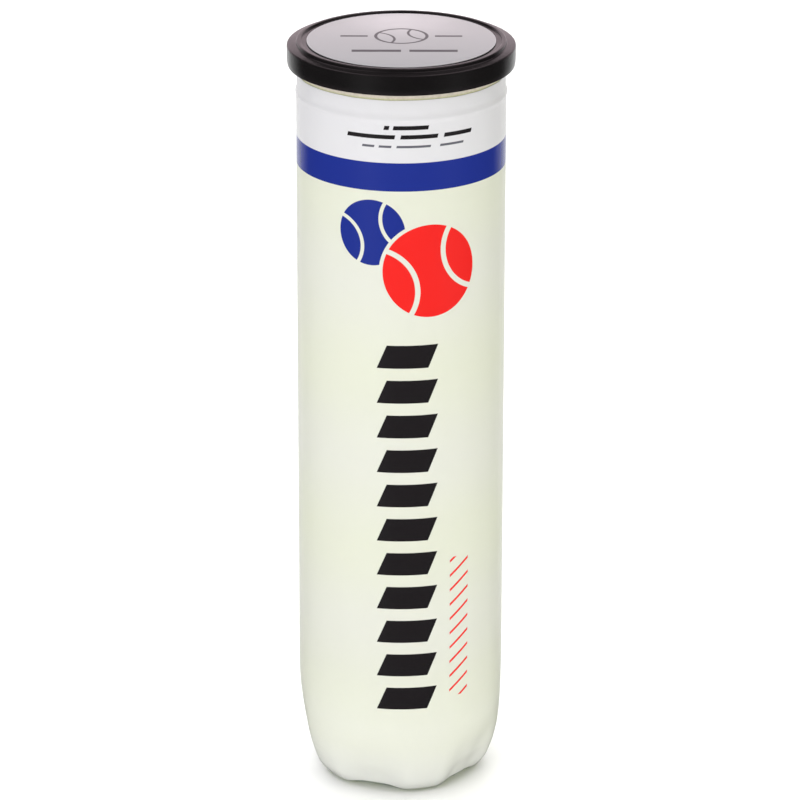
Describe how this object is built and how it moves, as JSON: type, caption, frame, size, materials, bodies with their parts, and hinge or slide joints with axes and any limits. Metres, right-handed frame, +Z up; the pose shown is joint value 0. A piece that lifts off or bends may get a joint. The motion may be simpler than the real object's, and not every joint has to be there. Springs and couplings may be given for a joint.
{
  "type": "tennis ball can",
  "caption": "Tall plastic ball can with a printed shrink sleeve, lobed base, metal ring-pull end, black press-on overcap and a stack of felt balls inside",
  "frame": {"origin": "on the can's axis at the floor, the bottom centre of the bounding box", "axes": "+Z is up along the can's axis, the longest extent; -Y is the front of the print, the side the picture shows"},
  "size_m": [0.0804, 0.0804, 0.2771],
  "materials": {
    "clear_plastic": "clear blown bottle plastic, glossy",
    "sleeve_film": "milky translucent shrink film, glossy, with printed bands",
    "gold_lacquer": "thin sheet metal under gold lacquer, satin",
    "sealing_compound": "soft seaming compound, matt",
    "bare_aluminium": "bare stamped aluminium, bright",
    "black_plastic": "black injection-moulded plastic, satin",
    "label_stock": "silver-grey printed label, satin",
    "ball_rubber": "grey vulcanised rubber, matt",
    "ball_felt": "optic yellow woollen felt, fuzzy",
    "seam_rubber": "off-white rubber seam, matt"
  },
  "bodies": {
    "can": {"bottle_shell": "clear_plastic", "printed_sleeve": "sleeve_film", "end_ring": "gold_lacquer", "sealing_ring": "sealing_compound"},
    "ball_1": {"ball_1_core_half_a": "ball_rubber", "ball_1_core_half_b": "ball_rubber", "ball_1_felt_a": "ball_felt", "ball_1_felt_b": "ball_felt", "ball_1_seam": "seam_rubber"},
    "ball_2": {"ball_2_core_half_a": "ball_rubber", "ball_2_core_half_b": "ball_rubber", "ball_2_felt_a": "ball_felt", "ball_2_felt_b": "ball_felt", "ball_2_seam": "seam_rubber"},
    "ball_3": {"ball_3_core_half_a": "ball_rubber", "ball_3_core_half_b": "ball_rubber", "ball_3_felt_a": "ball_felt", "ball_3_felt_b": "ball_felt", "ball_3_seam": "seam_rubber"},
    "ball_4": {"ball_4_core_half_a": "ball_rubber", "ball_4_core_half_b": "ball_rubber", "ball_4_felt_a": "ball_felt", "ball_4_felt_b": "ball_felt", "ball_4_seam": "seam_rubber"},
    "end_panel": {"tear_panel": "gold_lacquer", "rivet_and_tongue": "bare_aluminium"},
    "pull_tab": {"pull_tab": "bare_aluminium"},
    "overcap": {"overcap": "black_plastic", "lid_label": "label_stock"}
  },
  "joints": [
    {"name": "ball_1_lift", "type": "slide", "parent": "can", "child": "ball_1", "axis": [0, 0, 1], "range_m": [0, 0.275]},
    {"name": "ball_2_lift", "type": "slide", "parent": "ball_1", "child": "ball_2", "axis": [0, 0, 1], "range_m": [0, 0.21]},
    {"name": "ball_3_lift", "type": "slide", "parent": "ball_2", "child": "ball_3", "axis": [0, 0, 1], "range_m": [0, 0.145]},
    {"name": "ball_4_lift", "type": "slide", "parent": "ball_3", "child": "ball_4", "axis": [0, 0, 1], "range_m": [0, 0.08]},
    {"name": "end_panel_lift", "type": "slide", "parent": "ball_4", "child": "end_panel", "axis": [0, 0, 1], "range_m": [0, 0.06]},
    {"name": "overcap_lift", "type": "slide", "parent": "end_panel", "child": "overcap", "axis": [0, 0, 1], "range_m": [0, 0.08]},
    {"name": "tab_raise", "type": "hinge", "parent": "end_panel", "child": "pull_tab", "pos_m": [0, 0.031, 0.2707], "axis": [-1, 0, 0], "range_deg": [0, 90]}
  ],
  "couplings": [
    {"joint": "tab_raise", "follows": "overcap_lift", "rad_per_m": 19.63}
  ]
}
